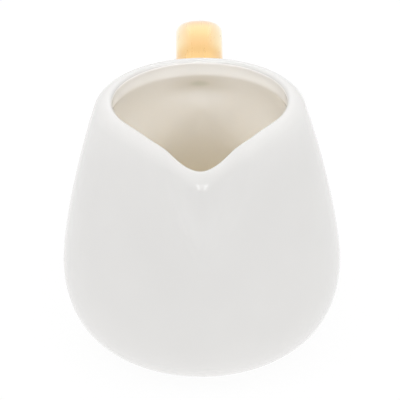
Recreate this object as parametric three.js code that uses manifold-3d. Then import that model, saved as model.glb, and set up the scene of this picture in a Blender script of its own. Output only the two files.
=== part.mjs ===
// A small slip-cast porcelain milk jug: an egg-shaped body with a pulled V spout, a strap handle
// luted on behind it with slip, white glaze outside, cream glaze inside and gold over the handle.
// Millimetres and degrees, +Z up. The spout looks along -Y and the handle stands behind on +Y.
import * as THREE from "three";
import { LoftGeometry } from "three/addons/geometries/LoftGeometry.js";
import { mergeVertices } from "three/addons/utils/BufferGeometryUtils.js";
import Module from "manifold-3d";

// Body, measured over the glaze
const HEIGHT = 81; // table to the crest of the lip
const BELLY_RADIUS = 42.5;
const BELLY_HEIGHT = 26; // level of the widest girth
const BOWL_FULLNESS = 0.6; // how far the bowl's curve runs flat, then upright, before it turns
const WALL_FULLNESS = 0.24; // the same for the tapering wall above the belly
const WALL_LEAN = 19; // degrees that the wall leans in where it meets the lip
const WALL = 4; // glaze to glaze at the belly
const INSIDE_FULLNESS = 0.35; // the inside's own curve above the belly
const FLOOR_TOP = 5.6; // inside bottom above the table
const FLOOR_RADIUS = 15; // flat part of the inside bottom

// Rolled lip
const CREST_RADIUS = 27.1;
const LIP_OUTSIDE = 4.7; // the oval round of the outside: across
const LIP_RISE = 4.7; // and up
const LIP_INSIDE = 1.1; // small round between the crest and the inside
const COLLAR_HEIGHT = 4.6; // steeper band inside the mouth
const COLLAR_LEAN = 8; // degrees that the band leans in
const THROAT_LEAN = 27; // degrees that the inside leans in below the band

// Bare foot ring with a shallow recess inside it
const FOOT_RADIUS = 21;
const FOOT_WIDTH = 3.6;
const FOOT_HEIGHT = 0.6; // how far it stands below the bowl
const RECESS = 1.8; // table to the glazed underside

// Spout: the mouth's circle is drawn out along its tangents to a rounded tip
const SPOUT_REACH = 41; // axis to the crest at the tip
const SPOUT_DEPTH = 52; // how far down the pull can be felt
const SPOUT_DIP = 3; // how far the lip drops at the tip
const DIP_SPREAD = 22; // degrees from the tip over which it drops
const TIP_ROUND = 7.5; // degrees of turn over which the tip is rounded
const TANGENT_BLEND = 6; // degrees over which the pulled wall meets the round one
const PINCH = 0.035; // share of the radius pressed in on each side of the tip
const PINCH_TURN = 18; // degrees from the tip to each pinch at the lip
const PINCH_SPREAD = 8.5; // degrees that a pinch covers at the lip
const PINCH_DEPTH = 32; // where the two pinches run together under the tip

// Handle: an oval strap, measured over the gilding
const HANDLE_WIDTH = 14.6;
const HANDLE_THICKNESS = 8.4;
const HANDLE_SQUARENESS = 2.4; // 2 is an ellipse, more is squarer
const HANDLE_REACH = 66.5; // axis to the back of the handle
const UPPER_ROOT_DROP = 10; // crest of the lip down to the middle of the upper root
const UPPER_ROOT_RISE = 28; // degrees above level at which the strap leaves the wall
const HANDLE_BACK_DROP = 5; // upper root down to the handle's furthest point
const LOWER_ROOT_LIFT = 7; // widest girth up to the middle of the lower root
const LOWER_ROOT_RISE = 24;
const ROOT_WIDTH = 19.6; // flared ends
const ROOT_THICKNESS = 11;
const FLARE_LENGTH = 9;
const UPPER_LEAD = 13; // how far the strap keeps its direction above, at the back and below
const BACK_LEAD_UP = 16;
const BACK_LEAD_DOWN = 17;
const LOWER_LEAD = 13;

// Press mark on the inside wall behind the upper root
const DENT_DROP = 2.5; // upper root down to the middle of the mark
const DENT_DEPTH = 1.8;
const DENT_WIDTH = 15;
const DENT_HEIGHT = 9;

// Coats, joints and the gaps that keep the pieces apart
const GLAZE = 0.4;
const GILDING = 0.4;
const SLIP = 1; // thickness of the luting slip between wall and handle
const SLIP_BEAD = 0.8; // how far the slip stands out round the root
const GILDING_START = 2.4; // the gilding begins this far off the glazed wall
const CLEARANCE = 0.3;

// Facets
const TURNS = 44; // round the body
const CROWDING = 0.55; // draws those facets together at the spout and the handle
const BOWL_STEPS = 6;
const WALL_STEPS = 9;
const LIP_STEPS = 3;
const COLLAR_STEPS = 1;
const STRAP_SIDES = 16;
const STRAP_STEPS = 24;
const WELD = 1e-4; // corners closer than this are one corner

const UPPER_ROOT_HEIGHT = HEIGHT - UPPER_ROOT_DROP;
const HANDLE_BACK_HEIGHT = UPPER_ROOT_HEIGHT - HANDLE_BACK_DROP;
const LOWER_ROOT_HEIGHT = BELLY_HEIGHT + LOWER_ROOT_LIFT;
const CORE_DEPTH = GLAZE + CLEARANCE; // from the glazed surface down to the porcelain
const COAT_DEPTH = GILDING + CLEARANCE; // from the gilded surface down to the porcelain

const { degToRad, clamp } = THREE.MathUtils;
const flat = (x, y) => new THREE.Vector2(x, y);

const wasm = await Module();
wasm.setup();

// Half of the jug's section, radius against height, as curves that run from the foot up the
// outside, over the crest and down the inside to the middle of the floor.
const lean = degToRad(WALL_LEAN);
const collarLean = degToRad(COLLAR_LEAN);
const lipStart = Math.atan2(Math.sin(lean) * LIP_RISE, Math.cos(lean) * LIP_OUTSIDE);
const lipOutside = new THREE.EllipseCurve(
  CREST_RADIUS,
  HEIGHT - LIP_RISE,
  LIP_OUTSIDE,
  LIP_RISE,
  lipStart,
  Math.PI / 2,
);
const lipInside = new THREE.EllipseCurve(
  CREST_RADIUS,
  HEIGHT - LIP_INSIDE,
  LIP_INSIDE,
  LIP_INSIDE,
  Math.PI / 2,
  Math.PI + collarLean,
);
const footEdge = flat(FOOT_RADIUS + CLEARANCE, FOOT_HEIGHT);
const belly = flat(BELLY_RADIUS, BELLY_HEIGHT);
const shoulder = lipOutside.getPoint(0);
const mouth = lipInside.getPoint(1);
const throat = flat(mouth.x + COLLAR_HEIGHT * Math.tan(collarLean), mouth.y - COLLAR_HEIGHT);
const creamEdge = mouth.clone().lerp(throat, CLEARANCE / mouth.distanceTo(throat));
const insideBelly = flat(BELLY_RADIUS - WALL, BELLY_HEIGHT);
const floorEdge = flat(FLOOR_RADIUS, FLOOR_TOP);

function bowl(footPoint, bellyPoint) {
  const run = BOWL_FULLNESS * (bellyPoint.x - footPoint.x);
  const rise = (1 - BOWL_FULLNESS) * (bellyPoint.y - footPoint.y);
  return new THREE.CubicBezierCurve(
    footPoint,
    flat(footPoint.x + run, footPoint.y),
    flat(bellyPoint.x, footPoint.y + rise),
    bellyPoint,
  );
}

function taper(bellyPoint, topPoint, topLean, fullness) {
  const lead = fullness * (topPoint.y - bellyPoint.y);
  return new THREE.CubicBezierCurve(
    bellyPoint,
    flat(bellyPoint.x, bellyPoint.y + lead),
    flat(topPoint.x + Math.tan(topLean) * lead, topPoint.y - lead),
    topPoint,
  );
}

function reversed(curve) {
  return new THREE.CubicBezierCurve(curve.v3, curve.v2, curve.v1, curve.v0);
}

const outsideCurves = [
  [bowl(footEdge, belly), BOWL_STEPS],
  [taper(belly, shoulder, lean, WALL_FULLNESS), WALL_STEPS],
  [lipOutside, LIP_STEPS],
  [lipInside, LIP_STEPS],
];
const insideCurves = [
  [new THREE.LineCurve(creamEdge, throat), COLLAR_STEPS],
  [reversed(taper(insideBelly, throat, degToRad(THROAT_LEAN), INSIDE_FULLNESS)), WALL_STEPS],
  [reversed(bowl(floorEdge, insideBelly)), BOWL_STEPS],
];

// Points along the curves, each with the direction that looks out of the porcelain.
function stations(curves, inside) {
  const list = [];
  for (const [curve, steps] of curves) {
    for (let step = list.length ? 1 : 0; step <= steps; step += 1) {
      const share = step / steps;
      const along = curve.getTangentAt(share);
      list.push({ point: curve.getPointAt(share), out: flat(along.y, -along.x), inside });
    }
  }
  return list;
}

const outside = stations(outsideCurves, false);
const inside = stations(insideCurves, true);
inside.push({ point: flat(0, FLOOR_TOP), out: flat(0, 1), inside: true });

// The same line at a depth below the glazed surface, or above it where the depth is negative.
function sunk(list, depth) {
  return list.map(({ point, out, inside: within }) => ({
    point: flat(Math.max(0, point.x - depth * out.x), point.y - depth * out.y),
    inside: within,
  }));
}

// 0 below -blend, the value itself above blend, and a smooth bend between.
function softPositive(value, blend) {
  if (value <= -blend) return 0;
  return value >= blend ? value : (value + blend) ** 2 / (4 * blend);
}

// How strongly the spout is felt at a height: 1 at the crest, little less under the lip, then fading
// to 0 down the wall.
function pullAt(z) {
  const drop = clamp((HEIGHT - z) / SPOUT_DEPTH, 0, 1);
  return (1 - drop * drop) ** 2;
}

// How much the spout draws out, and its pinches press in, the radius at a turn and a height.
function spoutPull(turn, z) {
  const away = Math.abs(turn);
  const spread = Math.acos(CREST_RADIUS / SPOUT_REACH) * pullAt(z);
  const round = degToRad(TIP_ROUND);
  const folded = Math.hypot(away, round) - round;
  const draw = softPositive(spread - folded, degToRad(TANGENT_BLEND) * pullAt(z));
  const press = 1 - (HEIGHT - z) / PINCH_DEPTH;
  if (press <= 0) return 1 / Math.cos(draw);
  const beside = (away - degToRad(PINCH_TURN) * press) / (degToRad(PINCH_SPREAD) * press);
  return (1 - PINCH * press * Math.exp(-beside * beside)) / Math.cos(draw);
}

// How far the lip drops towards the tip, at a turn and a height.
function spoutDip(turn, z) {
  const beside = turn / degToRad(DIP_SPREAD);
  return SPOUT_DIP * pullAt(z) * Math.exp(-beside * beside);
}

// Depth of the press mark on the inside wall, at a turn, a radius and a height.
function dent(turn, radius, z) {
  if (Math.cos(turn) > 0) return 0;
  const across = (2 * radius * Math.sin(turn)) / DENT_WIDTH;
  const up = (2 * (z - UPPER_ROOT_HEIGHT + DENT_DROP)) / DENT_HEIGHT;
  return DENT_DEPTH * Math.exp(-across * across - up * up);
}

// A closed section turned about the axis, then drawn out at the spout and pressed behind the root.
function thrown(section) {
  const geometry = new THREE.LatheGeometry(section.map(({ point }) => point), TURNS);
  geometry.rotateX(Math.PI / 2);
  const place = geometry.getAttribute("position");
  for (let i = 0; i < place.count; i += 1) {
    const even = Math.atan2(place.getX(i), -place.getY(i));
    const turn = even - (CROWDING / 2) * Math.sin(2 * even);
    const z = place.getZ(i);
    let radius = Math.hypot(place.getX(i), place.getY(i)) * spoutPull(turn, z);
    if (section[i % section.length].inside) radius += dent(turn, radius, z);
    const level = z - spoutDip(turn, z);
    place.setXYZ(i, radius * Math.sin(turn), -radius * Math.cos(turn), level);
  }
  geometry.setIndex(shortDiagonals(place, section.length));
  return geometry;
}

// Each quad of a turned surface split along its shorter diagonal, so that both flanks of the spout
// mirror each other and nested walls stay parallel.
function shortDiagonals(place, rows) {
  const corner = (i) => new THREE.Vector3().fromBufferAttribute(place, i);
  const index = [];
  for (let column = 0; column < TURNS; column += 1) {
    for (let row = 0; row < rows - 1; row += 1) {
      const a = column * rows + row;
      const b = a + rows;
      const c = b + 1;
      const d = a + 1;
      if (corner(b).distanceTo(corner(d)) < corner(a).distanceTo(corner(c))) index.push(a, b, d, c, d, b);
      else index.push(a, b, c, a, c, d);
    }
  }
  return index;
}

// A geometry as a solid that can be joined and cut, and back again.
function solid(geometry) {
  const bare = new THREE.BufferGeometry();
  bare.setAttribute("position", geometry.getAttribute("position"));
  bare.setIndex(geometry.index);
  const merged = mergeVertices(bare, WELD);
  const corners = merged.index.array;
  const triangles = [];
  for (let i = 0; i < corners.length; i += 3) {
    const [a, b, c] = corners.slice(i, i + 3);
    if (a !== b && b !== c && c !== a) triangles.push(a, b, c);
  }
  const vertProperties = merged.getAttribute("position").array;
  const triVerts = new Uint32Array(triangles);
  return new wasm.Manifold(new wasm.Mesh({ numProp: 3, vertProperties, triVerts }));
}

function geometryOf(made) {
  const { vertProperties, triVerts } = made.getMesh();
  const geometry = new THREE.BufferGeometry();
  geometry.setAttribute("position", new THREE.BufferAttribute(vertProperties, 3));
  geometry.setIndex(new THREE.BufferAttribute(triVerts, 1));
  return geometry;
}

// The porcelain: the whole section below its coats, with the foot ring and the recess under it.
function porcelain() {
  const upper = [...sunk(outside, CORE_DEPTH), ...sunk(inside, CORE_DEPTH)];
  const ringInside = FOOT_RADIUS - FOOT_WIDTH;
  const under = [
    flat(0, RECESS + CORE_DEPTH),
    flat(ringInside - CORE_DEPTH, RECESS + CORE_DEPTH),
    flat(ringInside, RECESS),
    flat(ringInside, 0),
    flat(FOOT_RADIUS, 0),
    flat(FOOT_RADIUS, FOOT_HEIGHT + CORE_DEPTH),
  ];
  return thrown([...under.map((point) => ({ point, inside: false })), ...upper]);
}

// A coat as thick as the glaze, between the glazed surface and a line below it.
function coat(list) {
  const skin = sunk(list, 0);
  const back = sunk(list, GLAZE).reverse();
  return thrown([...skin, ...back, skin[0]]);
}

function recessGlaze() {
  const edge = FOOT_RADIUS - FOOT_WIDTH - CORE_DEPTH - CLEARANCE;
  const section = [flat(0, RECESS), flat(edge, RECESS), flat(edge, RECESS + GLAZE), flat(0, RECESS + GLAZE)];
  return thrown(section.map((point) => ({ point, inside: false })));
}

// Everything inside the body's outer wall, a set distance off the glazed surface.
function envelope(stand) {
  const wall = sunk(outside, -stand).map(({ point }) => point);
  const section = [flat(0, wall[0].y), ...wall, flat(0, wall[wall.length - 1].y)];
  return solid(thrown(section.map((point) => ({ point, inside: false }))));
}

// The strap's middle line runs from inside the wall, over the top, down the back and in again.
function wallRadiusAt(z) {
  const above = outside.findIndex(({ point }) => point.y >= z);
  const low = outside[above - 1].point;
  const high = outside[above].point;
  return low.x + ((high.x - low.x) * (z - low.y)) / (high.y - low.y);
}

function strapLine() {
  const behind = (y, z) => new THREE.Vector3(0, y, z);
  const sink = WALL;
  const rootPoint = (z, rise, lead) => {
    const turn = degToRad(rise);
    return behind(wallRadiusAt(z) + lead * Math.cos(turn), z + lead * Math.sin(turn));
  };
  const backY = HANDLE_REACH - HANDLE_THICKNESS / 2;
  const back = behind(backY, HANDLE_BACK_HEIGHT);
  const line = new THREE.CurvePath();
  line.add(
    new THREE.CubicBezierCurve3(
      rootPoint(UPPER_ROOT_HEIGHT, UPPER_ROOT_RISE, -sink),
      rootPoint(UPPER_ROOT_HEIGHT, UPPER_ROOT_RISE, UPPER_LEAD),
      behind(backY, HANDLE_BACK_HEIGHT + BACK_LEAD_UP),
      back,
    ),
  );
  line.add(
    new THREE.CubicBezierCurve3(
      back,
      behind(backY, HANDLE_BACK_HEIGHT - BACK_LEAD_DOWN),
      rootPoint(LOWER_ROOT_HEIGHT, LOWER_ROOT_RISE, LOWER_LEAD),
      rootPoint(LOWER_ROOT_HEIGHT, LOWER_ROOT_RISE, -sink),
    ),
  );
  return line;
}

// An oval strap lofted along that line, flared towards both roots, a set amount inside or outside
// the gilded surface.
function strap(line, grow) {
  const length = line.getLength();
  const sections = [];
  for (let step = 0; step <= STRAP_STEPS; step += 1) {
    const share = step / STRAP_STEPS;
    const centre = line.getPointAt(share);
    const along = line.getTangentAt(share);
    const across = new THREE.Vector3(0, along.z, -along.y);
    const fromEnd = length * Math.min(share, 1 - share) - WALL;
    const flare = 1 - THREE.MathUtils.smoothstep(fromEnd, 0, FLARE_LENGTH);
    const halfWidth = (HANDLE_WIDTH + (ROOT_WIDTH - HANDLE_WIDTH) * flare) / 2 + grow;
    const halfThickness = (HANDLE_THICKNESS + (ROOT_THICKNESS - HANDLE_THICKNESS) * flare) / 2 + grow;
    const ring = [];
    for (let side = 0; side < STRAP_SIDES; side += 1) {
      const angle = (2 * Math.PI * side) / STRAP_SIDES;
      const oval = (value) => Math.sign(value) * Math.abs(value) ** (2 / HANDLE_SQUARENESS);
      const point = centre.clone().addScaledVector(across, halfThickness * oval(Math.sin(angle)));
      point.x += halfWidth * oval(Math.cos(angle));
      ring.push(point);
    }
    sections.push(ring);
  }
  return solid(new LoftGeometry(sections, { capStart: true, capEnd: true }));
}

// All that lies above, or below, the level halfway between the two roots.
function halfSpace(upper) {
  const size = 4 * HEIGHT;
  const middle = (UPPER_ROOT_HEIGHT + LOWER_ROOT_HEIGHT) / 2;
  const block = new THREE.BoxGeometry(size, size, size);
  block.translate(0, 0, middle + (upper ? size / 2 : -size / 2));
  return solid(block);
}

const line = strapLine();
const slipFoot = envelope(-GLAZE);
const slipTop = envelope(SLIP - GLAZE);
const strapFoot = envelope(SLIP - GLAZE + CLEARANCE);
const gildingFoot = envelope(GILDING_START);

const strapCore = strap(line, -COAT_DEPTH).subtract(strapFoot);
const gilding = strap(line, 0).subtract(strap(line, -GILDING)).subtract(gildingFoot);
const slip = strap(line, SLIP_BEAD).intersect(slipTop).subtract(slipFoot);
const slipHole = strap(line, SLIP_BEAD + CLEARANCE);
const outsideCoat = solid(coat(outside)).subtract(slipHole);

const finishes = {
  bisque: { color: 0xe9e3d8, roughness: 0.7, metalness: 0 },
  white: { color: 0xe6e6e4, roughness: 0.12, metalness: 0 },
  cream: { color: 0xe4dccb, roughness: 0.14, metalness: 0 },
  gold: { color: 0xe9b865, roughness: 0.32, metalness: 1 },
};

const jug = new THREE.Group();

function piece(name, geometry, finish) {
  const mesh = new THREE.Mesh(geometry, new THREE.MeshStandardMaterial(finishes[finish]));
  mesh.name = name;
  jug.add(mesh);
}

piece("porcelain_body", porcelain(), "bisque");
piece("outside_glaze", geometryOf(outsideCoat), "white");
piece("inside_glaze", coat(inside), "cream");
piece("recess_glaze", recessGlaze(), "white");
piece("upper_slip_joint", geometryOf(slip.intersect(halfSpace(true))), "white");
piece("lower_slip_joint", geometryOf(slip.intersect(halfSpace(false))), "white");
piece("handle", geometryOf(strapCore), "white");
piece("handle_gilding", geometryOf(gilding), "gold");

// The origin lies on the table under the middle of the whole jug.
const box = new THREE.Box3().setFromObject(jug);
jug.position.y = -(box.min.y + box.max.y) / 2;

export default jug;
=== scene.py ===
"""Looks of a small porcelain milk jug: white and cream glaze, a bare foot ring and a gilded strap."""

import math

import bmesh
import bpy
from mathutils import Matrix, Vector


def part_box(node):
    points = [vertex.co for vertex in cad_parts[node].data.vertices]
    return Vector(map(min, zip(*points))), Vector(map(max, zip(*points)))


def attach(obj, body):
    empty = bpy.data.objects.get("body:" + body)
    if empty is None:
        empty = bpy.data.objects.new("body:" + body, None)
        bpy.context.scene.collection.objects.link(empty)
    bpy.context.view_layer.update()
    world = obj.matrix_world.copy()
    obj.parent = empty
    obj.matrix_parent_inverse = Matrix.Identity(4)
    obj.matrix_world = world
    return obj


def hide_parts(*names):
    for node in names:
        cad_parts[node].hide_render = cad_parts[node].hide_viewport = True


bl_info = {
    "name": "Milk jug",
    "version": (1, 0, 0),
    "blender": (4, 5, 0),
    "location": "View3D > Sidebar > Milk jug",
    "description": "Models a glazed porcelain milk jug with a gilded handle, and its studio",
    "category": "Object",
}

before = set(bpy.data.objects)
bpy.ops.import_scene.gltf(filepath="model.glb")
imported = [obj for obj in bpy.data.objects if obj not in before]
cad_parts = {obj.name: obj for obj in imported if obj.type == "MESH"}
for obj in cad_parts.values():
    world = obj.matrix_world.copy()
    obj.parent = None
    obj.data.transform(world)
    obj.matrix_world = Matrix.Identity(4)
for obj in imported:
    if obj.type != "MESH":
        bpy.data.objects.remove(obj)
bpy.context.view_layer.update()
MM = 0.001

# How finely the sections are drawn
BOWL_STEPS = 30
INSIDE_BOWL_STEPS = 24
WALL_STEPS = 40
LIP_OUTSIDE_STEPS = 16
LIP_STEPS = 24  # over the small round inside the lip
LIP_SHARE = 16  # how many of those the white glaze covers before the cream begins
BAND_STEPS = 14
FLOOR_STEPS = 4
FOOT_STEPS = 5  # over each rounded edge of the foot ring
PATCH_STEPS = 8  # over the edge of the glaze in the recess
SLIP_STEPS = 8
STRAP_STEPS = 200  # along each half of the strap's middle line
HALVINGS = 24  # of a length, to find where the strap leaves the wall

# Small shapes and tolerances
BAND_LEAD = 0.6  # how far the band inside the mouth keeps its slope above
BAND_TRAIL = 0.3  # and below
DENT_END = 3  # half heights from its middle at which the press mark is over
SLIP_HOLLOW = 2.4  # 1 is a straight slope of slip, more is hollower
GILDING_SHARE = 0.9  # the rest of the gold's thickness is a gap over the porcelain
SAME_SPOT = 0.001 * MM  # vertices nearer than this become one
SMOOTH_ANGLE = math.radians(40)  # sharper edges stay sharp

# Finishes: the shares are of a colour or a roughness
NOISE_LOW = 0.3  # nearly all of a noise lies between these two
NOISE_HIGH = 0.7
CLOUD_SCALE = 55
CLOUD_DETAIL = 2
CLOUD_SHARES = (0.99, 1.01)
GLOSS_SCALE = 130
GLOSS_DETAIL = 3
GLOSS_SHARES = (0.8, 1.3)
RIPPLE_SCALE = 160
RIPPLE_DETAIL = 1
RIPPLE_DEPTH = 0.012 * MM
GLAZE_IOR = 1.5
CREAM_TOP = 0.85  # of the upper root's height, where the cream is palest and its painted shade has ended
# Painted shadow in the press mark: a darker cream at its upper edge, where the recess shades itself
DENT_SHADOW_RISE = 1 / 3  # of the press mark's height, from its middle to the middle of the painted shadow
DENT_SHADOW_WIDTH = 1 / 3.5  # of the press mark's width
DENT_SHADOW_DEPTH = 1 / 2
DENT_SHADOW_HEIGHT = 1 / 4  # of the press mark's height
DENT_SHADOW_CORE = 0.2  # share of the painted shadow that has its full colour
GRAIN_SCALE = 1400
GRAIN_DETAIL = 4
GRAIN_SHARES = (0.93, 1.04)
GRAIN_DEPTH = 0.02 * MM
MATT = 0.62  # roughness of bare porcelain
STROKE_STRETCH = (4, 30, 1)  # along the strap, across it and through it
STROKE_DETAIL = 3
STROKE_SHARES = (0.98, 1.02)
SATIN_SHARES = (0.88, 1.12)
PAINTED_SHEEN_SPAN = (0.12, 0.46)  # from the strap's middle, in widths, where a painted reflection pales the gold towards its edges
PAINTED_SHADE_SPAN = (0.42, 0.6)  # from the strap's back, in half turns, where painted shade darkens the gold towards the roots
BLOOM_SPREAD = 0.5

# Stage
BOUNCES = 24  # a white hollow is lit by light that goes to and fro in it
FLOOR_SIZE = 6
SENSOR_WIDTH = 36
NEAREST = 0.01  # the camera sees nothing nearer than this

# Sizes taken from the CAD nodes
GLAZE_LOW, GLAZE_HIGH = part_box("outside_glaze")
BODY_LOW, BODY_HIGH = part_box("porcelain_body")
RECESS_LOW, RECESS_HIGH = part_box("recess_glaze")
GOLD_LOW, GOLD_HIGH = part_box("handle_gilding")
AXIS_Y = BODY_HIGH.y - BODY_HIGH.x  # the body is round behind its spout


def length(name, description, default):
    return bpy.props.FloatProperty(
        name=name, description=description, default=default, unit="LENGTH", precision=5
    )


def angle(name, description, degrees):
    return bpy.props.FloatProperty(
        name=name, description=description, default=math.radians(degrees), subtype="ANGLE"
    )


def number(name, description, default):
    return bpy.props.FloatProperty(name=name, description=description, default=default, precision=3)


def count(name, description, default):
    return bpy.props.IntProperty(name=name, description=description, default=default, min=3)


def colour(name, description, default):
    return bpy.props.FloatVectorProperty(
        name=name, description=description, default=default, subtype="COLOR", size=3, min=0, max=1
    )


def position(name, description, default):
    return bpy.props.FloatVectorProperty(
        name=name, description=description, default=default, subtype="TRANSLATION", size=3
    )


class BodySettings(bpy.types.PropertyGroup):
    """The body, measured over the glaze."""

    axis_y: length("Axis", "Place of the body's axis along Y", AXIS_Y)
    height: length("Height", "Table to the crest of the lip", GLAZE_HIGH.z)
    belly_radius: length("Belly radius", "Widest girth", GLAZE_HIGH.x)
    belly_height: length("Belly height", "Level of the widest girth", 26 * MM)
    bowl_fullness: number("Bowl fullness", "How far the bowl runs flat, then upright", 0.6)
    wall_fullness: number("Wall fullness", "The same for the wall above the belly", 0.24)
    wall_lean: angle("Wall lean", "How far the wall leans in where it meets the lip", 19)
    wall: length("Wall", "Glaze to glaze at the belly", 4 * MM)
    inside_fullness: number("Inside fullness", "The same for the inside above the belly", 0.35)
    floor_top: length("Floor", "Inside bottom above the table", 5.6 * MM)
    floor_radius: length("Floor radius", "Flat part of the inside bottom", 15 * MM)
    crest_radius: length("Crest radius", "Axis to the crest of the lip", 27.1 * MM)
    lip_outside: length("Lip outside", "Round of the outside of the lip, across and up", 4.7 * MM)
    lip_inside: length("Lip inside", "Small round between the crest and the inside", 1.1 * MM)
    collar: length("Collar", "Height of the steeper band inside the mouth", 4.6 * MM)
    collar_lean: angle("Collar lean", "How far that band leans in", 8)
    throat_lean: angle("Throat lean", "How far the inside leans in below the band", 27)
    foot_radius: length("Foot radius", "Outside of the bare foot ring", 21 * MM)
    foot_width: length("Foot width", "Width of the foot ring", 3.6 * MM)
    foot_height: length("Foot height", "How far the ring stands below the bowl", GLAZE_LOW.z)
    foot_round: length("Foot round", "Rounded edges of the ring", 0.35 * MM)
    recess: length("Recess", "Table to the glazed underside", RECESS_LOW.z)
    glaze: length("Glaze", "Thickness of a coat of glaze", RECESS_HIGH.z - RECESS_LOW.z)
    bed: length("Bed", "Porcelain below the back of the glaze", 0.1 * MM)
    turns: count("Turns", "Faces round the body", 176)
    crowding: number("Crowding", "Draws those faces together at the spout and the handle", 0.5)


class SpoutSettings(bpy.types.PropertyGroup):
    """The mouth's circle is drawn out along its tangents to a rounded tip."""

    reach: length("Reach", "Axis to the crest at the tip", 40.9 * MM)
    depth: length("Depth", "How far down the pull can be felt", 52 * MM)
    dip: length("Dip", "How far the lip drops at the tip", 3 * MM)
    dip_spread: angle("Dip spread", "Turn from the tip over which the lip drops", 22)
    tip_round: angle("Tip round", "Turn over which the tip is rounded", 5.5)
    blend: angle("Blend", "Turn over which the pulled wall meets the round one", 6)
    pinch: number("Pinch", "Share of the radius pressed in on each side of the tip", 0.035)
    pinch_turn: angle("Pinch turn", "From the tip to each pinch at the lip", 18)
    pinch_spread: angle("Pinch spread", "Turn that a pinch covers at the lip", 8.5)
    pinch_depth: length("Pinch depth", "Where the two pinches run together", 32 * MM)


class HandleSettings(bpy.types.PropertyGroup):
    """An oval strap, measured over the gilding."""

    width: length("Width", "Across the strap", 14.6 * MM)
    thickness: length("Thickness", "Through the strap", 8.4 * MM)
    squareness: number("Squareness", "2 is an ellipse, more is squarer", 2.4)
    reach: length("Reach", "Axis to the back of the handle", GOLD_HIGH.y - AXIS_Y)
    upper_root: length("Upper root", "Level of the upper root", 71 * MM)
    upper_rise: angle("Upper rise", "Slope at which the strap leaves the wall above", 28)
    back_height: length("Back height", "Level of the furthest point", 66 * MM)
    lower_root: length("Lower root", "Level of the lower root", 33 * MM)
    lower_rise: angle("Lower rise", "Slope at which the strap leaves the wall below", 24)
    root_width: length("Root width", "Width of the flared ends", 19.6 * MM)
    root_thickness: length("Root thickness", "Thickness of the flared ends", 11 * MM)
    flare: length("Flare", "Length of the flared ends", 9 * MM)
    upper_lead: length("Upper lead", "How far the strap keeps its direction above", 13 * MM)
    back_lead_up: length("Back lead up", "The same above the furthest point", 15.8 * MM)
    back_lead_down: length("Back lead down", "The same below the furthest point", 17 * MM)
    lower_lead: length("Lower lead", "The same at the lower root", 13 * MM)
    dent_drop: length("Dent drop", "Upper root down to the middle of the press mark inside", 2.5 * MM)
    dent_depth: length("Dent depth", "Depth of the press mark", 1.8 * MM)
    dent_width: length("Dent width", "Width of the press mark", 15 * MM)
    dent_height: length("Dent height", "Height of the press mark", 9 * MM)
    slip_bead: length("Slip bead", "How far the slip spreads on the wall round a root", 1.4 * MM)
    slip_height: length("Slip height", "How far the slip climbs up the strap", 1.7 * MM)
    gilding: length("Gilding", "Thickness of the gold", 0.2 * MM)
    gilding_start: length("Gilding start", "The gold begins this far off the wall", 2.4 * MM)
    around: count("Around", "Faces round the strap", 80)
    along: count("Along", "Faces along the strap", 110)


class FinishSettings(bpy.types.PropertyGroup):
    """Colours of the finishes."""

    white: colour("White glaze", "Outside glaze", (0.705, 0.697, 0.685))
    cream: colour("Cream glaze", "Inside glaze below the lip", (0.972, 0.965, 0.955))
    # Painted shade: the inside's cream grows darker and warmer towards the bottom, where less light
    # reaches
    cream_painted_shade: colour("Deep cream", "Inside glaze where it lies thicker", (0.83, 0.775, 0.66))
    # Painted shadow: darker cream at the press mark's upper edge, where the recess is in shade
    cream_painted_shadow: colour("Gathered cream", "Inside glaze gathered in the press mark", (0.85, 0.87, 0.83))
    porcelain: colour("Porcelain", "Bare fired porcelain", (0.74, 0.71, 0.65))
    gold: colour("Gold", "Gold lustre", (1.0, 0.63, 0.27))
    # Painted reflection: paler gold towards the strap's edges, where the gold turns to mirror the white
    # surroundings
    gold_painted_sheen: colour("Thin gold", "Gold lustre brushed thin at the strap's edges", (1.0, 0.79, 0.45))
    # Painted shade: darker gold towards the roots, where the rim and the wall shade the strap
    gold_painted_shade: colour("Deep gold", "Gold lustre laid on thicker at the roots", (0.9, 0.565, 0.2))
    gloss: number("Gloss", "Roughness of the glaze", 0.1)
    satin: number("Satin", "Roughness of the gold", 0.3)
    bloom: number("Bloom", "Pale sheen of the gold where it turns away", 0.9)


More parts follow.
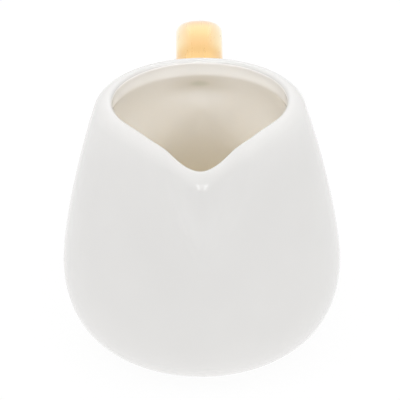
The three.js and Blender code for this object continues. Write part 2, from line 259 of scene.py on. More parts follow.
class StageSettings(bpy.types.PropertyGroup):
    """Camera and light."""

    lens: number("Lens", "Focal length in millimetres on a sensor 36 mm wide", 207.5)
    distance: length("Distance", "Camera to the point that it looks at", 700 * MM)
    elevation: angle("Elevation", "Camera above the horizon", 28.877)
    turn: angle("Turn", "Camera round the jug", 0.118)
    roll: angle("Roll", "Camera about its own axis", -0.783)
    aim_x: length("Aim across", "Point looked at, beside the axis", -0.31 * MM)
    aim_z: length("Aim height", "Point looked at, above the table", 46.626 * MM)
    horizon: number("Horizon", "Light from the surroundings at the horizon", 0.16)
    zenith: number("Zenith", "Light from the surroundings overhead", 1.39)
    ceiling: number("Ceiling", "White that reflections show overhead, where 1 is white", 0.97)
    sparkle_width: length("Sparkle width", "Width of each tall lamp that the spout's tip mirrors", 0.22)
    sparkle_height: length("Sparkle height", "Height of each tall lamp", 0.8)
    left_sparkle: number("Left sparkle", "Power of the left one in watts", 1.5)
    left_sparkle_place: position("Left sparkle place", "From the tip to it", (-0.25, -0.47, 0.845))
    right_sparkle: number("Right sparkle", "Power of the right one in watts", 2.2)
    right_sparkle_place: position("Right sparkle place", "From the tip to it", (0.46, -0.44, 0.77))
    glow: number("Glow", "Power of the broad lamp that the tip mirrors, in watts", 1.2)
    glow_size: length("Glow size", "Side of that lamp", 0.5)
    glow_place: position("Glow place", "From the tip to that lamp", (0, -0.4, 0.92))
    side: number("Side lamps", "Power of each lamp beside the jug in watts", 1.0)
    side_size: length("Side lamp size", "Side of each lamp beside the jug", 0.75)
    side_place: position("Side lamp place", "Jug's middle to the right one", (0.68, -0.27, 0.68))
    softbox: number("Softbox", "Power of the softbox over the camera in watts", 0.52)
    softbox_size: length("Softbox size", "Side of the softbox", 0.7)
    softbox_place: position("Softbox place", "Jug's middle to the softbox", (0, -0.7, 0.6))
    back: number("Back lamp", "Power of the lamp behind the handle in watts", 0.3)
    back_size: length("Back lamp size", "Side of the lamp behind the handle", 0.5)
    back_place: position("Back lamp place", "Jug's middle to that lamp", (0, 0.85, 0.55))
    snoot_cone: angle("Snoot cone", "Beam of the narrow lamps that shine into the mouth", 3.6)
    snoot_squeeze: number("Snoot squeeze", "Height of their beams against the width", 0.5)
    snoot_size: length("Snoot size", "Radius of their openings", 0.016)
    near_snoot: number("Near snoots", "Power of each narrow lamp beside the camera in watts", 5.1)
    near_aim: position("Near snoot aim", "Spot that the right one shines on", (-0.014, 0.026, 0.061))
    near_place: position("Near snoot place", "From that spot to the right one", (0.43, -0.75, 0.5))
    far_snoot: number("Far snoots", "Power of each narrow lamp further round in watts", 7.5)
    far_aim: position("Far snoot aim", "Spot that the right one shines on", (-0.017, 0.024, 0.06))
    far_place: position("Far snoot place", "From that spot to the right one", (0.65, -0.54, 0.53))
    floor_light: number("Floor light", "Light that the white floor sends up by itself", 0.945)
    floor_tone: number("Floor tone", "How much of the light on it the floor gives back", 0.3)
    shadow_tone: number("Shadow tone", "Share of the floor's white that a full shadow takes away", 0.1)


class MilkJugSettings(bpy.types.PropertyGroup):
    """All settings of the jug."""

    body: bpy.props.PointerProperty(type=BodySettings)
    spout: bpy.props.PointerProperty(type=SpoutSettings)
    handle: bpy.props.PointerProperty(type=HandleSettings)
    finish: bpy.props.PointerProperty(type=FinishSettings)
    stage: bpy.props.PointerProperty(type=StageSettings)


# Section of the body, as points of radius and height
def flat(radius, height):
    return Vector((radius, height))


def cubic(start, lead, trail, end, steps):
    points = []
    for step in range(steps + 1):
        t = step / steps
        u = 1 - t
        points.append(start * u**3 + lead * 3 * t * u * u + trail * 3 * t * t * u + end * t**3)
    return points


def arc(centre, across, up, first, last, steps):
    turns = [first + (last - first) * step / steps for step in range(steps + 1)]
    return [centre + flat(across * math.cos(turn), up * math.sin(turn)) for turn in turns]


def bowl(body, foot, belly, steps):
    full = body.bowl_fullness
    run = flat(full * (belly.x - foot.x), 0)
    rise = flat(0, (1 - full) * (belly.y - foot.y))
    return cubic(foot, foot + run, flat(belly.x, foot.y) + rise, belly, steps)


def taper(belly, top, lean, fullness, steps):
    lead = fullness * (top.y - belly.y)
    trail = top + flat(math.tan(lean), -1) * lead
    return cubic(belly, belly + flat(0, lead), trail, top, steps)


def lip(body):
    """The outer round of the lip, from the wall up to the crest, and the small round inside it."""
    outer = flat(body.crest_radius, body.height - body.lip_outside)
    inner = flat(body.crest_radius, body.height - body.lip_inside)
    big = body.lip_outside
    small = body.lip_inside
    top = math.pi / 2
    outside = arc(outer, big, big, body.wall_lean, top, LIP_OUTSIDE_STEPS)
    inside = arc(inner, small, small, top, math.pi + body.collar_lean, LIP_STEPS)
    return outside, inside


def outside_line(body):
    """From the foot up the outside, over the crest to the inner edge of the lip."""
    outside, inside = lip(body)
    foot = flat(body.foot_radius, body.foot_height)
    belly = flat(body.belly_radius, body.belly_height)
    low = bowl(body, foot, belly, BOWL_STEPS)
    wall = taper(belly, outside[0], body.wall_lean, body.wall_fullness, WALL_STEPS)
    return low + wall[1:] + outside[1:] + inside[1 : LIP_SHARE + 1]


def inside_line(body):
    """From the inner edge of the lip down the inside to the middle of the floor."""
    inner_lip = lip(body)[1][LIP_SHARE:]
    edge = inner_lip[-1]
    steep = flat(math.tan(body.collar_lean), -1) * body.collar
    throat = edge + steep
    below = flat(math.tan(body.throat_lean), -1) * body.collar
    band = cubic(edge, edge + steep * BAND_LEAD, throat - below * BAND_TRAIL, throat, BAND_STEPS)
    belly = flat(body.belly_radius - body.wall, body.belly_height)
    floor = flat(body.floor_radius, body.floor_top)
    radii = [body.floor_radius * step / FLOOR_STEPS for step in range(FLOOR_STEPS)]
    middle = [flat(radius, body.floor_top) for radius in radii]
    low = bowl(body, floor, belly, INSIDE_BOWL_STEPS)
    wall = taper(belly, throat, body.throat_lean, body.inside_fullness, WALL_STEPS)
    upwards = middle + low + wall[1:]
    return inner_lip[:-1] + band[:-1] + upwards[::-1]


def sunk(line, depth):
    """The same line at a depth to its right, which is under the glaze."""
    points = []
    for index, point in enumerate(line):
        along = (line[min(index + 1, len(line) - 1)] - line[max(index - 1, 0)]).normalized()
        points.append(flat(max(0, point.x - depth * along.y), point.y + depth * along.x))
    return points


def wall_radius(body, z):
    """Outside radius of the glazed wall behind the spout, at a height."""
    line = outside_line(body)
    for low, high in zip(line, line[1:]):
        if low.y <= z <= high.y and high.y > low.y:
            return low.x + (high.x - low.x) * (z - low.y) / (high.y - low.y)
    return body.crest_radius


# Spout and press mark
def clamp(value):
    return min(1, max(0, value))


def pull_at(jug, z):
    """How strongly the spout is felt: 1 at the crest, little less under the lip, 0 down the wall."""
    drop = clamp((jug.body.height - z) / jug.spout.depth)
    return (1 - drop * drop) ** 2


def soft_positive(value, blend):
    if value <= -blend:
        return 0
    return value if value >= blend else (value + blend) ** 2 / (4 * blend)


def spout_pull(jug, turn, z):
    """Factor by which the spout draws out, and its pinches press in, the radius."""
    spout = jug.spout
    pull = pull_at(jug, z)
    opening = math.acos(jug.body.crest_radius / spout.reach) * pull
    folded = math.hypot(turn, spout.tip_round) - spout.tip_round
    draw = soft_positive(opening - folded, spout.blend * pull)
    press = 1 - (jug.body.height - z) / spout.pinch_depth
    if press <= 0:
        return 1 / math.cos(draw)
    beside = (abs(turn) - spout.pinch_turn * press) / (spout.pinch_spread * press)
    return (1 - spout.pinch * press * math.exp(-beside * beside)) / math.cos(draw)


def spout_dip(jug, turn, z):
    beside = turn / jug.spout.dip_spread
    return jug.spout.dip * pull_at(jug, z) * math.exp(-beside * beside)


def dent(jug, turn, radius, z):
    """Depth of the press mark on the inside wall behind the upper root."""
    handle = jug.handle
    up = 2 * (z - handle.upper_root + handle.dent_drop) / handle.dent_height
    if math.cos(turn) > 0 or abs(up) > DENT_END:
        return 0
    if radius > wall_radius(jug.body, z) - jug.body.wall / 2:
        return 0
    across = 2 * radius * math.sin(turn) / handle.dent_width
    return handle.dent_depth * math.exp(-across * across - up * up)


def draw_spout(piece, jug):
    """Crowds the turned vertices towards the spout, draws the spout and presses the dent inside."""
    body = jug.body
    for vertex in piece.data.vertices:
        x, y, z = vertex.co.x, vertex.co.y - body.axis_y, vertex.co.z
        even = math.atan2(x, -y)
        turn = even - body.crowding / 2 * math.sin(2 * even)
        radius = math.hypot(x, y) * spout_pull(jug, turn, z)
        radius += dent(jug, turn, radius, z)
        place = (radius * math.sin(turn), body.axis_y - radius * math.cos(turn))
        vertex.co = (*place, z - spout_dip(jug, turn, z))
    piece.data.update()


# Modelling steps
def start_piece(name):
    """A new piece of one vertex at the origin, in edit mode."""
    bpy.ops.object.select_all(action="DESELECT")
    bpy.ops.mesh.primitive_plane_add(size=MM, location=(0, 0, 0))
    piece = bpy.context.object
    piece.name = piece.data.name = name
    bpy.ops.object.mode_set(mode="EDIT")
    bpy.ops.mesh.select_all(action="SELECT")
    bpy.ops.mesh.merge(type="CENTER")
    return piece


def draw_line(points):
    """Moves the selected vertex to the first point and extrudes it through the others."""
    bpy.ops.transform.translate(value=points[0])
    for here, there in zip(points, points[1:]):
        bpy.ops.mesh.extrude_region_move(TRANSFORM_OT_translate={"value": there - here})


def turned(name, body, line, inward=False):
    """A section of radii and heights turned about the body's axis."""
    piece = start_piece(name)
    draw_line([Vector((point.x, body.axis_y, point.y)) for point in line])
    bpy.ops.mesh.select_all(action="SELECT")
    centre = (0, body.axis_y, 0)
    bpy.ops.mesh.spin(steps=body.turns, angle=2 * math.pi, center=centre, axis=(0, 0, 1))
    bpy.ops.mesh.select_all(action="SELECT")
    bpy.ops.mesh.remove_doubles(threshold=SAME_SPOT)
    bpy.ops.mesh.normals_make_consistent(inside=inward)
    bpy.ops.object.mode_set(mode="OBJECT")
    return piece


def lofted(name, rings):
    """A tube through rings of points, each extruded from the one before."""
    bpy.ops.object.select_all(action="DESELECT")
    around = len(rings[0])
    bpy.ops.mesh.primitive_circle_add(vertices=around, radius=MM, location=(0, 0, 0), calc_uvs=False)
    piece = bpy.context.object
    piece.name = piece.data.name = name
    bpy.ops.object.mode_set(mode="EDIT")
    bpy.ops.mesh.select_all(action="SELECT")
    mesh = bmesh.from_edit_mesh(piece.data)
    mesh.verts.ensure_lookup_table()
    order = {}
    for index, point in enumerate(rings[0]):
        mesh.verts[index].co = point
        order[tuple(mesh.verts[index].co)] = index
    bmesh.update_edit_mesh(piece.data)
    for ring in rings[1:]:
        bpy.ops.mesh.extrude_region_move()
        mesh = bmesh.from_edit_mesh(piece.data)
        following = {}
        for vertex in [vertex for vertex in mesh.verts if vertex.select]:
            index = order[tuple(vertex.co)]
            vertex.co = ring[index]
            following[tuple(vertex.co)] = index
        order = following
        bmesh.update_edit_mesh(piece.data)
    bpy.ops.mesh.select_all(action="SELECT")
    bpy.ops.mesh.normals_make_consistent(inside=False)
    bpy.ops.object.mode_set(mode="OBJECT")
    return piece


def cap_ends(piece):
    """Closes both open ends of a tube."""
    bpy.ops.object.mode_set(mode="EDIT")
    bpy.ops.mesh.select_all(action="SELECT")
    bpy.ops.mesh.fill_holes(sides=0)
    bpy.ops.mesh.select_all(action="SELECT")
    bpy.ops.mesh.normals_make_consistent(inside=False)
    bpy.ops.object.mode_set(mode="OBJECT")


def thicken(piece, thickness):
    """Gives an open skin its thickness, behind the side that it shows."""
    coat = piece.modifiers.new("Coat", "SOLIDIFY")
    coat.thickness = thickness
    coat.offset = -1
    coat.use_even_offset = True
    bpy.ops.object.modifier_apply(modifier=coat.name)


def finish_piece(piece, material, slot, *nodes):
    """Smooth shading, finish, and the CAD nodes that the piece stands for."""
    bpy.ops.object.shade_smooth_by_angle(angle=SMOOTH_ANGLE)
    piece.data.materials.clear()
    piece.data.materials.append(material)
    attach(piece, "root")
    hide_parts(*nodes)


# Strap of the handle
class Strap:
    """The strap's middle line, measured by its length, and the points on its skin."""

    def __init__(self, jug):
        self.body = jug.body
        self.handle = handle = jug.handle
        back = flat(handle.reach - handle.thickness / 2, handle.back_height)
        upper = (handle.upper_root, handle.upper_rise)
        lower = (handle.lower_root, handle.lower_rise)
        over = cubic(
            self.root(*upper, -self.body.wall),
            self.root(*upper, handle.upper_lead),
            back + flat(0, handle.back_lead_up),
            back,
            STRAP_STEPS,
        )
        under = cubic(
            back,
            back - flat(0, handle.back_lead_down),
            self.root(*lower, handle.lower_lead),
            self.root(*lower, -self.body.wall),
            STRAP_STEPS,
        )
        self.points = over + under[1:]
        self.marks = [0]
        for here, there in zip(self.points, self.points[1:]):
            self.marks.append(self.marks[-1] + (there - here).length)
        self.length = self.marks[-1]
        self.line = outside_line(self.body)

    def root(self, z, rise, lead):
        return flat(wall_radius(self.body, z) + lead * math.cos(rise), z + lead * math.sin(rise))

    def middle_at(self, mark):
        """Middle of the strap and its direction, at a length along it."""
        low = 0
        high = len(self.marks) - 1
        while high - low > 1:
            middle = (low + high) // 2
            if self.marks[middle] <= mark:
                low = middle
            else:
                high = middle
        share = (mark - self.marks[low]) / (self.marks[high] - self.marks[low])
        before = self.points[max(low - 1, 0)]
        after = self.points[min(high + 1, len(self.points) - 1)]
        return self.points[low].lerp(self.points[high], share), (after - before).normalized()

    def skin(self, mark, turn, grow):
        """A point on the strap's skin, at a length along it and a turn round it."""
        handle = self.handle
        middle, along = self.middle_at(mark)
        rise = clamp((min(mark, self.length - mark) - self.body.wall) / handle.flare)
        flare = 1 - rise * rise * (3 - 2 * rise)
        width = handle.width + (handle.root_width - handle.width) * flare
        thickness = handle.thickness + (handle.root_thickness - handle.thickness) * flare
        power = 2 / handle.squareness
        side = math.copysign(abs(math.cos(turn)) ** power, math.cos(turn)) * (width / 2 + grow)
        out = math.copysign(abs(math.sin(turn)) ** power, math.sin(turn)) * (thickness / 2 + grow)
        return Vector((side, self.body.axis_y + middle.x + along.y * out, middle.y - along.x * out))

    def stand(self, point):
        """How far a point behind the jug stands off the glazed wall."""
        place = flat(math.hypot(point.x, point.y - self.body.axis_y), point.z)
        near = min(self.line, key=lambda spot: (spot - place).length_squared)
        index = min(max(self.line.index(near), 1), len(self.line) - 2)
        along = (self.line[index + 1] - self.line[index - 1]).normalized()
        return (place - near).dot(flat(along.y, -along.x))

    def mark_at(self, turn, grow, stand, upper):
        """Length along the strap at which its skin leaves the wall by a distance."""
        inner = 0 if upper else self.length
        outer = self.length / 3 if upper else self.length * 2 / 3
        for _ in range(HALVINGS):
            middle = (inner + outer) / 2
            if self.stand(self.skin(middle, turn, grow)) < stand:
                inner = middle
            else:
                outer = middle
        return outer

    def turns(self):
        return [2 * math.pi * step / self.handle.around for step in range(self.handle.around)]

    def tube(self, grow, stand):
        """Rings from a distance off the wall at the upper root to the same at the lower one."""
        ends = [
            (self.mark_at(turn, grow, stand, True), self.mark_at(turn, grow, stand, False))
            for turn in self.turns()
        ]
        rings = []
        for step in range(self.handle.along + 1):
            share = step / self.handle.along
            rings.append(
                [
                    self.skin(first + (last - first) * share, turn, grow)
                    for turn, (first, last) in zip(self.turns(), ends)
                ]
            )
        return rings

    def collar(self, upper):
        """Rings of the slip that fills the corner between the wall and a root."""
        handle = self.handle
        turns = self.turns()
        below = -self.body.glaze / 2
        marks = [self.mark_at(turn, handle.slip_bead, below, upper) for turn in turns]
        outward = 1 if upper else -1
        rings = []
        for step in range(SLIP_STEPS + 1):
            share = step / SLIP_STEPS
            grow = handle.slip_bead * (1 - share) ** SLIP_HOLLOW - handle.gilding * share
            climb = handle.slip_height * share * outward
            rings.append([self.skin(mark + climb, turn, grow) for mark, turn in zip(marks, turns)])
        return rings


# Finishes
def new_material(name):
    """A new material, its node tree and its shader."""
    material = bpy.data.materials.new(name)
    material.use_nodes = True
    tree = material.node_tree
    return material, tree, tree.nodes["Principled BSDF"]


def noise(tree, scale, detail, stretch=(1, 1, 1), source="Object"):
    coordinates = tree.nodes.new("ShaderNodeTexCoord")
    mapping = tree.nodes.new("ShaderNodeMapping")
    mapping.inputs["Scale"].default_value = stretch
    texture = tree.nodes.new("ShaderNodeTexNoise")
    texture.inputs["Scale"].default_value = scale
    texture.inputs["Detail"].default_value = detail
    tree.links.new(coordinates.outputs[source], mapping.inputs["Vector"])
    tree.links.new(mapping.outputs["Vector"], texture.inputs["Vector"])
    return texture.outputs["Fac"]


def varied(tree, source, value, shares):
    """A number that follows a noise, from one share of itself to another."""
    span = tree.nodes.new("ShaderNodeMapRange")
    span.inputs["From Min"].default_value = NOISE_LOW
    span.inputs["From Max"].default_value = NOISE_HIGH
    span.inputs["To Min"].default_value = value * shares[0]
    span.inputs["To Max"].default_value = value * shares[1]
    tree.links.new(source, span.inputs["Value"])
    return span.outputs["Result"]


def shades(tree, source, tone, shares):
    """A colour that follows a noise, from one share of itself to another."""
    ramp = tree.nodes.new("ShaderNodeValToRGB")
    for element, stop, share in zip(ramp.color_ramp.elements, (NOISE_LOW, NOISE_HIGH), shares):
        element.position = stop
        element.color = (*[min(1, channel * share) for channel in tone], 1)
    tree.links.new(source, ramp.inputs["Fac"])
    return ramp.outputs["Color"]


def mixed(tree, share, first, second):
    """The first colour where the share is 0, the second where it is 1."""
    mix = tree.nodes.new("ShaderNodeMix")
    mix.data_type = "RGBA"
    tree.links.new(share, mix.inputs["Factor"])
    tree.links.new(first, mix.inputs["A"])
    tree.links.new(second, mix.inputs["B"])
    return mix.outputs["Result"]


def eased(tree, source, low, high):
    """A share that rises softly from 0 at low to 1 at high, or falls if low is the greater."""
    span = tree.nodes.new("ShaderNodeMapRange")
    span.interpolation_type = "SMOOTHSTEP"
    span.inputs["From Min"].default_value = min(low, high)
    span.inputs["From Max"].default_value = max(low, high)
    span.inputs["To Min"].default_value = float(low > high)
    span.inputs["To Max"].default_value = float(low < high)
    tree.links.new(source, span.inputs["Value"])
    return span.outputs["Result"]


def coordinate(tree, source, axis):
    coordinates = tree.nodes.new("ShaderNodeTexCoord")
    parts = tree.nodes.new("ShaderNodeSeparateXYZ")
    tree.links.new(coordinates.outputs[source], parts.inputs["Vector"])
    return parts.outputs[axis]


def vector_step(tree, operation, source, other=(0, 0, 0)):
    step = tree.nodes.new("ShaderNodeVectorMath")
    step.operation = operation
    step.inputs[1].default_value = other
    tree.links.new(source, step.inputs[0])
    return step


def away_from(tree, centre, sizes):
    """Distance from a spot of the piece, where 1 is the edge of an ellipsoid round it."""
    coordinates = tree.nodes.new("ShaderNodeTexCoord")
    offset = vector_step(tree, "SUBTRACT", coordinates.outputs["Object"], centre)
    share = vector_step(tree, "DIVIDE", offset.outputs["Vector"], sizes)
    return vector_step(tree, "LENGTH", share.outputs["Vector"]).outputs["Value"]


def size_of(tree, source):
    """A number without its sign."""
    plain = tree.nodes.new("ShaderNodeMath")
    plain.operation = "ABSOLUTE"
    tree.links.new(source, plain.inputs[0])
    return plain.outputs["Value"]


def bump(tree, source, height, shader):
    relief = tree.nodes.new("ShaderNodeBump")
    relief.inputs["Strength"].default_value = 1
    relief.inputs["Distance"].default_value = height
    tree.links.new(source, relief.inputs["Height"])
    tree.links.new(relief.outputs["Normal"], shader.inputs["Normal"])


def clouded(tree, tone):
    """A colour with a faint cloud in it."""
    return shades(tree, noise(tree, CLOUD_SCALE, CLOUD_DETAIL), tone, CLOUD_SHARES)


def finish_glaze(tree, shader, colour_socket, roughness):
    """The gloss of a fired glaze, with a slow ripple in its surface."""
    tree.links.new(colour_socket, shader.inputs["Base Color"])
    gloss = varied(tree, noise(tree, GLOSS_SCALE, GLOSS_DETAIL), roughness, GLOSS_SHARES)
    tree.links.new(gloss, shader.inputs["Roughness"])
    bump(tree, noise(tree, RIPPLE_SCALE, RIPPLE_DETAIL), RIPPLE_DEPTH, shader)
    shader.inputs["IOR"].default_value = GLAZE_IOR


def white_glaze_material(finish):
    """Glossy white glaze, which several pieces share."""
    name = "fired_white_glaze"
    if name in bpy.data.materials:
        return bpy.data.materials[name]
    material, tree, shader = new_material(name)
    finish_glaze(tree, shader, clouded(tree, finish.white), finish.gloss)
    return material


def cream_glaze_material(jug):
    """Glossy cream glaze with painted shade, darker towards the bottom and at the press mark's upper
    edge.
    """
    body = jug.body
    handle = jug.handle
    finish = jug.finish
    material, tree, shader = new_material("fired_cream_glaze")
    height = coordinate(tree, "Object", "Z")
    # Painted shade: the cream darkens from near the upper root down to the belly and stays dark below
    # it
    level = eased(tree, height, body.belly_height, handle.upper_root * CREAM_TOP)
    cream = mixed(tree, level, clouded(tree, finish.cream_painted_shade), clouded(tree, finish.cream))
    # Painted shadow at the press mark's upper edge, an ellipsoid of darker cream
    edge = handle.upper_root - handle.dent_drop + handle.dent_height * DENT_SHADOW_RISE
    centre = (0, body.axis_y + wall_radius(body, edge) - body.wall, edge)
    across = handle.dent_width
    sizes = (across * DENT_SHADOW_WIDTH, across * DENT_SHADOW_DEPTH, handle.dent_height * DENT_SHADOW_HEIGHT)
    shadowed = eased(tree, away_from(tree, centre, sizes), 1, DENT_SHADOW_CORE)
    cream = mixed(tree, shadowed, cream, clouded(tree, finish.cream_painted_shadow))
    finish_glaze(tree, shader, cream, finish.gloss)
    return material


def porcelain_material(finish):
    """Bare fired porcelain, matt and fine-grained."""
    material, tree, shader = new_material("fired_bare_porcelain")
    grain = noise(tree, GRAIN_SCALE, GRAIN_DETAIL)
    tone = shades(tree, grain, finish.porcelain, GRAIN_SHARES)
    tree.links.new(tone, shader.inputs["Base Color"])
    shader.inputs["Roughness"].default_value = MATT
    bump(tree, grain, GRAIN_DEPTH, shader)
    return material


def gold_material(finish):
    """Satin gold lustre with faint strokes, a painted reflection paling its edges and painted shade at
    its roots.
    """
    material, tree, shader = new_material("gold_lustre")
    strokes = noise(tree, 1, STROKE_DETAIL, stretch=STROKE_STRETCH, source="UV")
    gold, painted_sheen_gold, painted_shade_gold = [
        shades(tree, strokes, tone, STROKE_SHARES)
        for tone in (finish.gold, finish.gold_painted_sheen, finish.gold_painted_shade)
    ]
    along = size_of(tree, coordinate(tree, "UV", "X"))
    across = size_of(tree, coordinate(tree, "UV", "Y"))
    # Painted reflection: the gold pales towards the strap's edges
    tone = mixed(tree, eased(tree, across, *PAINTED_SHEEN_SPAN), gold, painted_sheen_gold)
    # Painted shade: the gold darkens towards the roots
    tone = mixed(tree, eased(tree, along, *PAINTED_SHADE_SPAN), tone, painted_shade_gold)
    tree.links.new(tone, shader.inputs["Base Color"])
    satin = varied(tree, strokes, finish.satin, SATIN_SHARES)
    tree.links.new(satin, shader.inputs["Roughness"])
    shader.inputs["Metallic"].default_value = 1
    shader.inputs["Sheen Weight"].default_value = finish.bloom
    shader.inputs["Sheen Roughness"].default_value = BLOOM_SPREAD
    return material


def lay_strap_map(piece, strap):
    """A map whose first number runs along the strap and whose second runs round it."""
    layer = piece.data.uv_layers.new(name="Strap")
    handle = strap.handle
    middle = flat(wall_radius(strap.body, handle.lower_root), handle.back_height)
    for loop in piece.data.loops:
        place = piece.data.vertices[loop.vertex_index].co
        radial = place.y - strap.body.axis_y - middle.x
        layer.data[loop.index].uv = (
            math.atan2(place.z - middle.y, radial) / math.pi,
            place.x / handle.width,
        )


# Operators
class MILKJUG_OT_porcelain_body(bpy.types.Operator):
    """Model the porcelain wall with its bare foot ring"""

    bl_idname = "milkjug.porcelain_body"
    bl_label = "Porcelain body"

    def execute(self, context):
        jug = context.scene.milk_jug
        body = jug.body
        depth = body.glaze + body.bed
        ring_inside = body.foot_radius - body.foot_width
        top = body.recess + depth
        edge = body.foot_round
        foot = [flat(0, top), flat(ring_inside - depth, top), flat(ring_inside, body.recess)]
        foot += arc(flat(ring_inside + edge, edge), edge, edge, math.pi, 1.5 * math.pi, FOOT_STEPS)
        foot += arc(flat(body.foot_radius - edge, edge), edge, edge, -math.pi / 2, 0, FOOT_STEPS)
        outside = sunk(outside_line(body), depth)[1:]
        inside = sunk(inside_line(body), depth)
        foot.append(flat(body.foot_radius, body.foot_height + depth))
        piece = turned("porcelain_wall", body, foot + outside + inside)
        draw_spout(piece, jug)
        finish_piece(piece, porcelain_material(jug.finish), "porcelain", "porcelain_body")
        return {"FINISHED"}


class MILKJUG_OT_outside_glaze(bpy.types.Operator):
    """Model the white glaze from the foot over the lip"""

    bl_idname = "milkjug.outside_glaze"
    bl_label = "Outside glaze"

    def execute(self, context):
        jug = context.scene.milk_jug
        piece = turned("white_glaze_coat", jug.body, outside_line(jug.body))
        draw_spout(piece, jug)
        thicken(piece, jug.body.glaze)
        material = white_glaze_material(jug.finish)
        finish_piece(piece, material, "white_glaze", "outside_glaze")
        return {"FINISHED"}


class MILKJUG_OT_inside_glaze(bpy.types.Operator):
    """Model the cream glaze of the inside, with the press mark behind the upper root"""

    bl_idname = "milkjug.inside_glaze"
    bl_label = "Inside glaze"

    def execute(self, context):
        jug = context.scene.milk_jug
        piece = turned("cream_glaze_coat", jug.body, inside_line(jug.body), inward=True)
        draw_spout(piece, jug)
        thicken(piece, jug.body.glaze)
        material = cream_glaze_material(jug)
        finish_piece(piece, material, "cream_glaze", "inside_glaze")
        return {"FINISHED"}


class MILKJUG_OT_recess_glaze(bpy.types.Operator):
    """Model the glaze in the recess under the base"""

    bl_idname = "milkjug.recess_glaze"
    bl_label = "Recess glaze"

    def execute(self, context):
        jug = context.scene.milk_jug
        body = jug.body
        edge = body.foot_radius - body.foot_width - body.glaze
        half = body.glaze / 2
        middle = flat(edge - half, body.recess + half)
        rim = arc(middle, half, half, -math.pi / 2, math.pi / 2, PATCH_STEPS)
        line = [flat(0, body.recess), flat(edge / 2, body.recess)] + rim
        back = body.recess + body.glaze
        line += [flat(edge / 2, back), flat(0, back)]
        piece = turned("recess_glaze_patch", body, line)
        material = white_glaze_material(jug.finish)
        finish_piece(piece, material, "white_glaze", "recess_glaze")
        return {"FINISHED"}


class MILKJUG_OT_slip_joints(bpy.types.Operator):
    """Model the glazed slip that fills the corner round each root of the handle"""

    bl_idname = "milkjug.slip_joints"
    bl_label = "Slip joints"

    def execute(self, context):
        jug = context.scene.milk_jug
        strap = Strap(jug)
        material = white_glaze_material(jug.finish)
        for name, upper in (("upper_slip", True), ("lower_slip", False)):
            piece = lofted(name + "_collar", strap.collar(upper))
            cap_ends(piece)
            finish_piece(piece, material, "white_glaze", name + "_joint")
        return {"FINISHED"}


class MILKJUG_OT_handle(bpy.types.Operator):
    """Model the porcelain strap under the gold"""

    bl_idname = "milkjug.handle"
    bl_label = "Handle"

    def execute(self, context):
        jug = context.scene.milk_jug
        handle = jug.handle
        rings = Strap(jug).tube(-handle.gilding, handle.slip_height / 2)
        piece = lofted("strap_handle", rings)
        cap_ends(piece)
        material = white_glaze_material(jug.finish)
        finish_piece(piece, material, "white_glaze", "handle")
        return {"FINISHED"}


class MILKJUG_OT_handle_gilding(bpy.types.Operator):
    """Model the gold over the strap"""

    bl_idname = "milkjug.handle_gilding"
    bl_label = "Handle gilding"

    def execute(self, context):
        jug = context.scene.milk_jug
        strap = Strap(jug)
        piece = lofted("gold_lustre_coat", strap.tube(0, jug.handle.gilding_start))
        thicken(piece, jug.handle.gilding * GILDING_SHARE)
        lay_strap_map(piece, strap)
        finish_piece(piece, gold_material(jug.finish), "gold", "handle_gilding")
        return {"FINISHED"}


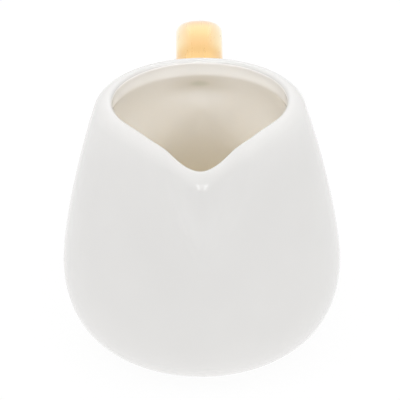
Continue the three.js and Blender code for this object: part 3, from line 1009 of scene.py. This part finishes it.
class MILKJUG_OT_stage(bpy.types.Operator):
    """Set up the floor, the white surroundings, the lamps and the camera"""

    bl_idname = "milkjug.stage"
    bl_label = "Stage"

    def execute(self, context):
        jug = context.scene.milk_jug
        context.scene.view_settings.view_transform = "Standard"
        context.scene.cycles.max_bounces = BOUNCES
        context.scene.cycles.diffuse_bounces = BOUNCES
        self.floor(jug.stage)
        self.surroundings(jug.stage)
        self.lamps(jug)
        self.camera(jug)
        return {"FINISHED"}

    def seen(self, tree):
        """1 for what the camera sees, straight or in a reflection."""
        path = tree.nodes.new("ShaderNodeLightPath")
        total = path.outputs["Is Camera Ray"]
        for name in ("Is Glossy Ray", "Is Transmission Ray"):
            plus = tree.nodes.new("ShaderNodeMath")
            plus.operation = "MAXIMUM"
            tree.links.new(total, plus.inputs[0])
            tree.links.new(path.outputs[name], plus.inputs[1])
            total = plus.outputs["Value"]
        return total

    def by_height(self, tree, low, high):
        """A value that goes from low at the horizon to high overhead."""
        span = tree.nodes.new("ShaderNodeMapRange")
        span.inputs["To Min"].default_value = low
        span.inputs["To Max"].default_value = high
        tree.links.new(coordinate(tree, "Generated", "Z"), span.inputs["Value"])
        return span.outputs["Result"]

    def floor(self, stage):
        bpy.ops.object.select_all(action="DESELECT")
        bpy.ops.mesh.primitive_plane_add(size=FLOOR_SIZE, location=(0, 0, 0))
        floor = bpy.context.object
        floor.name = "floor"
        material, tree, shader = new_material("pale_floor")
        tree.nodes.remove(shader)
        mix = tree.nodes.new("ShaderNodeMixShader")
        tree.links.new(self.seen(tree), mix.inputs["Fac"])
        lighting = (stage.floor_tone, stage.floor_light)
        showing = (stage.shadow_tone, 1 - stage.shadow_tone)
        for socket, (tone, light) in zip(mix.inputs[1:], (lighting, showing)):
            surface = tree.nodes.new("ShaderNodeBsdfDiffuse")
            surface.inputs["Color"].default_value = (tone, tone, tone, 1)
            glow = tree.nodes.new("ShaderNodeEmission")
            glow.inputs["Strength"].default_value = light
            both = tree.nodes.new("ShaderNodeAddShader")
            tree.links.new(surface.outputs["BSDF"], both.inputs[0])
            tree.links.new(glow.outputs["Emission"], both.inputs[1])
            tree.links.new(both.outputs["Shader"], socket)
        tree.links.new(mix.outputs["Shader"], tree.nodes["Material Output"].inputs["Surface"])
        floor.data.materials.append(material)

    def surroundings(self, stage):
        world = bpy.data.worlds.new("white_surroundings")
        bpy.context.scene.world = world
        world.use_nodes = True
        tree = world.node_tree
        light = tree.nodes["Background"]
        strength = self.by_height(tree, stage.horizon, stage.zenith)
        tree.links.new(strength, light.inputs["Strength"])
        white = tree.nodes.new("ShaderNodeBackground")
        tree.links.new(self.by_height(tree, 1, stage.ceiling), white.inputs["Strength"])
        for background in (light, white):
            background.inputs["Color"].default_value = (1, 1, 1, 1)
        mix = tree.nodes.new("ShaderNodeMixShader")
        tree.links.new(self.seen(tree), mix.inputs["Fac"])
        tree.links.new(light.outputs["Background"], mix.inputs[1])
        tree.links.new(white.outputs["Background"], mix.inputs[2])
        tree.links.new(mix.outputs["Shader"], tree.nodes["World Output"].inputs["Surface"])

    def lamps(self, jug):
        stage = jug.stage
        axis = Vector((0, jug.body.axis_y, 0))
        middle = axis + Vector((0, 0, jug.body.height / 2))
        tip = axis + Vector((0, -jug.spout.reach, jug.body.height - jug.spout.dip))
        tall = (stage.sparkle_width, stage.sparkle_height)
        square = (stage.glow_size, stage.glow_size)
        self.mirrored("left_sparkle", tip, stage.left_sparkle_place, stage.left_sparkle, tall)
        self.mirrored("right_sparkle", tip, stage.right_sparkle_place, stage.right_sparkle, tall)
        self.mirrored("tip_glow", tip, stage.glow_place, stage.glow, square)
        back = self.lamp("back_lamp", "AREA", middle, stage.back_place, stage.back)
        back.data.size = stage.back_size
        self.soft("softbox", middle, stage.softbox_place, stage.softbox, stage.softbox_size)
        for name, mirror in (("left", Vector((-1, 1, 1))), ("right", Vector((1, 1, 1)))):
            beside = stage.side_place * mirror
            self.soft(name + "_side_lamp", middle, beside, stage.side, stage.side_size)
            near = (axis + stage.near_aim * mirror, stage.near_place * mirror)
            self.snoot(name + "_near_snoot", *near, stage.near_snoot, stage)
            far = (axis + stage.far_aim * mirror, stage.far_place * mirror)
            self.snoot(name + "_far_snoot", *far, stage.far_snoot, stage)

    def lamp(self, name, kind, aim, away, power):
        """A lamp at a distance from the point that it shines on."""
        turn = (-away).to_track_quat("-Z", "Y").to_euler()
        bpy.ops.object.light_add(type=kind, location=aim + away, rotation=turn)
        lamp = bpy.context.object
        lamp.name = name
        lamp.data.energy = power
        return lamp

    def mirrored(self, name, aim, away, power, sides):
        """A lamp that only shows as a highlight, with its first side level."""
        lamp = self.lamp(name, "AREA", aim, away, power)
        ahead = away.normalized()
        up = ahead.cross(Vector((1, 0, 0))).normalized()
        lamp.rotation_euler = Matrix((up.cross(ahead), up, ahead)).transposed().to_euler()
        lamp.data.shape = "RECTANGLE"
        lamp.data.size, lamp.data.size_y = sides
        lamp.visible_diffuse = False

    def soft(self, name, aim, away, power, size):
        """A broad lamp that the glaze doesn't mirror."""
        lamp = self.lamp(name, "AREA", aim, away, power)
        lamp.data.size = size
        lamp.visible_glossy = False

    def snoot(self, name, aim, away, power, stage):
        """A narrow lamp with a flat beam."""
        lamp = self.lamp(name, "SPOT", aim, away, power)
        lamp.scale.y = stage.snoot_squeeze
        lamp.visible_glossy = False
        lamp.data.shadow_soft_size = stage.snoot_size
        lamp.data.spot_size = stage.snoot_cone
        lamp.data.spot_blend = 1

    def camera(self, jug):
        stage = jug.stage
        axis = Vector((0, jug.body.axis_y, 0))
        round_jug = Matrix.Rotation(stage.turn, 3, "Z")
        aim = Vector((stage.aim_x, 0, stage.aim_z))
        back = Vector((0, -math.cos(stage.elevation), math.sin(stage.elevation)))
        looking = back.to_track_quat("Z", "Y").to_matrix() @ Matrix.Rotation(stage.roll, 3, "Z")
        bpy.ops.object.camera_add()
        camera = bpy.context.object
        camera.location = axis + round_jug @ (aim + back * stage.distance)
        camera.rotation_euler = (round_jug @ looking).to_euler()
        camera.data.lens = stage.lens
        camera.data.sensor_width = SENSOR_WIDTH
        camera.data.clip_start = NEAREST
        bpy.context.scene.camera = camera


class MILKJUG_PT_sidebar(bpy.types.Panel):
    """Lists the jug's pieces and sizes"""

    bl_label = "Milk jug"
    bl_space_type = "VIEW_3D"
    bl_region_type = "UI"
    bl_category = "Milk jug"

    def draw(self, context):
        jug = context.scene.milk_jug
        for operator in OPERATORS:
            self.layout.operator(operator.bl_idname)
        for group in (jug.body, jug.spout, jug.handle, jug.finish, jug.stage):
            column = self.layout.column()
            for name in group.__annotations__:
                column.prop(group, name)


GROUPS = (
    BodySettings,
    SpoutSettings,
    HandleSettings,
    FinishSettings,
    StageSettings,
    MilkJugSettings,
)
OPERATORS = (
    MILKJUG_OT_stage,
    MILKJUG_OT_porcelain_body,
    MILKJUG_OT_outside_glaze,
    MILKJUG_OT_inside_glaze,
    MILKJUG_OT_recess_glaze,
    MILKJUG_OT_slip_joints,
    MILKJUG_OT_handle,
    MILKJUG_OT_handle_gilding,
)
CLASSES = (*GROUPS, *OPERATORS, MILKJUG_PT_sidebar)


def register():
    for each in CLASSES:
        bpy.utils.register_class(each)
    bpy.types.Scene.milk_jug = bpy.props.PointerProperty(type=MilkJugSettings)


def unregister():
    del bpy.types.Scene.milk_jug
    for each in reversed(CLASSES):
        bpy.utils.unregister_class(each)


def main():
    register()
    bpy.ops.milkjug.stage()
    bpy.ops.milkjug.porcelain_body()
    bpy.ops.milkjug.outside_glaze()
    bpy.ops.milkjug.inside_glaze()
    bpy.ops.milkjug.recess_glaze()
    bpy.ops.milkjug.slip_joints()
    bpy.ops.milkjug.handle()
    bpy.ops.milkjug.handle_gilding()


if __name__ == "__main__":
    main()
